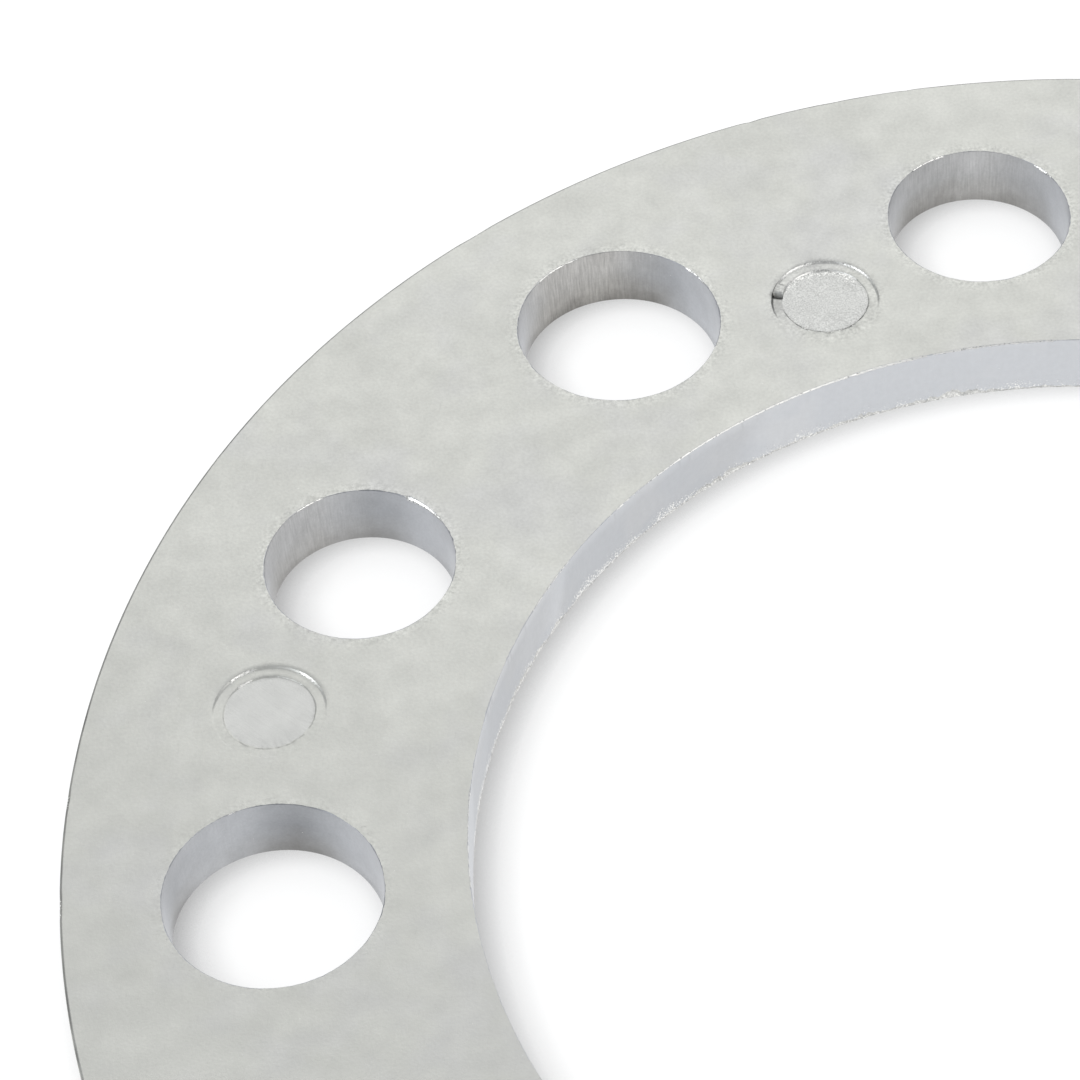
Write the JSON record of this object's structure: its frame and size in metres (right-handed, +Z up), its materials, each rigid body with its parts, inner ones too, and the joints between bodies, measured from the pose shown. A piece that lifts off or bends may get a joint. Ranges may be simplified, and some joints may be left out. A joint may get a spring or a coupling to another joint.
{
  "type": "wheel spacer",
  "caption": "Flat cast aluminium ring that sits between a wheel and its hub, with a wide central bore and a circle of through holes for the wheel studs.",
  "frame": {"origin": "centre of the bore, in the plane of the foot face that the ring lies on", "axes": "+Z along the axis of the bore, away from the foot face, towards the face with the ejector pin marks; +Y through the middle of one of the smaller stud holes; +X to the right when +Z points up and +Y away"},
  "size_m": [0.1755, 0.1754, 0.0063],
  "materials": {
    "cast_aluminium": "matt, tumbled die casting"
  },
  "bodies": {
    "root": {"spacer_ring": "cast_aluminium"}
  },
  "joints": []
}
